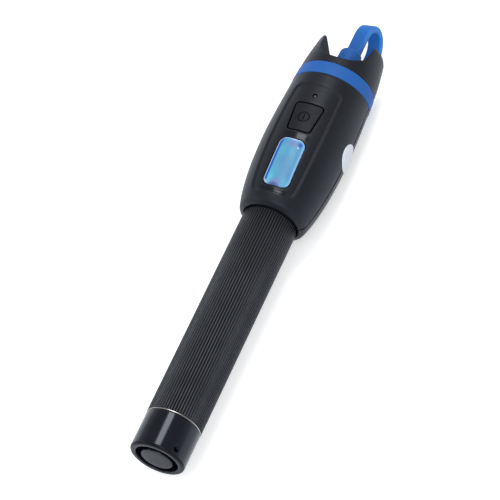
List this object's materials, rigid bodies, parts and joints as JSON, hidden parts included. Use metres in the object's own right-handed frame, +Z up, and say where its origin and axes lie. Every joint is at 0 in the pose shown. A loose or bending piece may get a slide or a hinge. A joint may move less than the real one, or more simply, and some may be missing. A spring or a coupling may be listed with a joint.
{
  "type": "visual fault locator pen",
  "caption": "Pen-shaped red-light fibre tester: ribbed battery tube, wide moulded head with a push button, 2.5 mm optical port in a forked crown, and a tethered dust cap.",
  "frame": {"origin": "under the middle of the pen's length, at the lowest point of the head, with the pen lying on its back", "axes": "+X along the pen from the tail to the optical port, +Z up through the power button"},
  "size_m": [0.2034, 0.0334, 0.0331],
  "materials": {
    "black_plastic": "soft matte",
    "black_gloss": "gloss",
    "tube_black": "black anodised",
    "tether_blue": "satin",
    "badge_blue": "gloss, domed",
    "label_grey": "matte film",
    "plated_metal": "nickel plate",
    "alloy": "turned",
    "brass": "turned",
    "board_green": "solder mask",
    "cell_grey": "plain wrapper",
    "rubber_black": "matte",
    "ceramic_white": "glazed",
    "clear": "polished"
  },
  "bodies": {
    "pen": {"battery_tube": "tube_black", "battery_rear": "cell_grey", "battery_front": "cell_grey", "tail_spring": "plated_metal", "contact_carrier": "black_plastic", "front_contact": "plated_metal", "front_shell": "black_plastic", "rear_shell": "black_plastic", "circuit_board": "board_green", "switch_body": "black_plastic", "button_keeper": "black_plastic", "indicator_led": "ceramic_white", "light_pipe": "clear", "badge": "badge_blue", "seal_label": "label_grey", "optical_block": "alloy", "laser_module": "brass", "focus_lens": "clear", "port_adapter": "plated_metal", "ferrule_sleeve": "ceramic_white", "adapter_nut": "plated_metal", "accent_ring": "tether_blue", "crown": "black_plastic"},
    "button": {"power_button": "black_plastic"},
    "plunger": {"switch_plunger": "plated_metal"},
    "tail_carrier": {"tail_contact": "plated_metal"},
    "tail": {"tail_cap": "black_gloss", "tail_seal": "rubber_black"},
    "dust": {"dust_cap": "tether_blue", "cap_strap": "tether_blue"}
  },
  "joints": [
    {"name": "button_press", "type": "slide", "parent": "pen", "child": "button", "axis": [0, 0, -1], "range_m": [0, 0.0005], "stiffness_N_per_m": 2000, "springref_m": -0.0003},
    {"name": "plunger_press", "type": "slide", "parent": "pen", "child": "plunger", "axis": [0, 0, -1], "range_m": [0, 0.0006]},
    {"name": "tail_advance", "type": "slide", "parent": "pen", "child": "tail_carrier", "axis": [-1, 0, 0], "range_m": [0, 0.0051], "deforming": ["tail_spring"]},
    {"name": "tail_turn", "type": "hinge", "parent": "tail_carrier", "child": "tail", "pos_m": [-0.09467, 0, 0.01665], "axis": [-1, 0, 0], "range_deg": [0, 1800]},
    {"name": "dust_cap_pull", "type": "slide", "parent": "pen", "child": "dust", "axis": [1, 0, 0], "range_m": [0, 0.028], "deforming": ["cap_strap"]}
  ],
  "couplings": [
    {"joint": "plunger_press", "follows": "button_press", "ratio": 1},
    {"joint": "tail_advance", "follows": "tail_turn", "m_per_rad": 0.00015915}
  ]
}
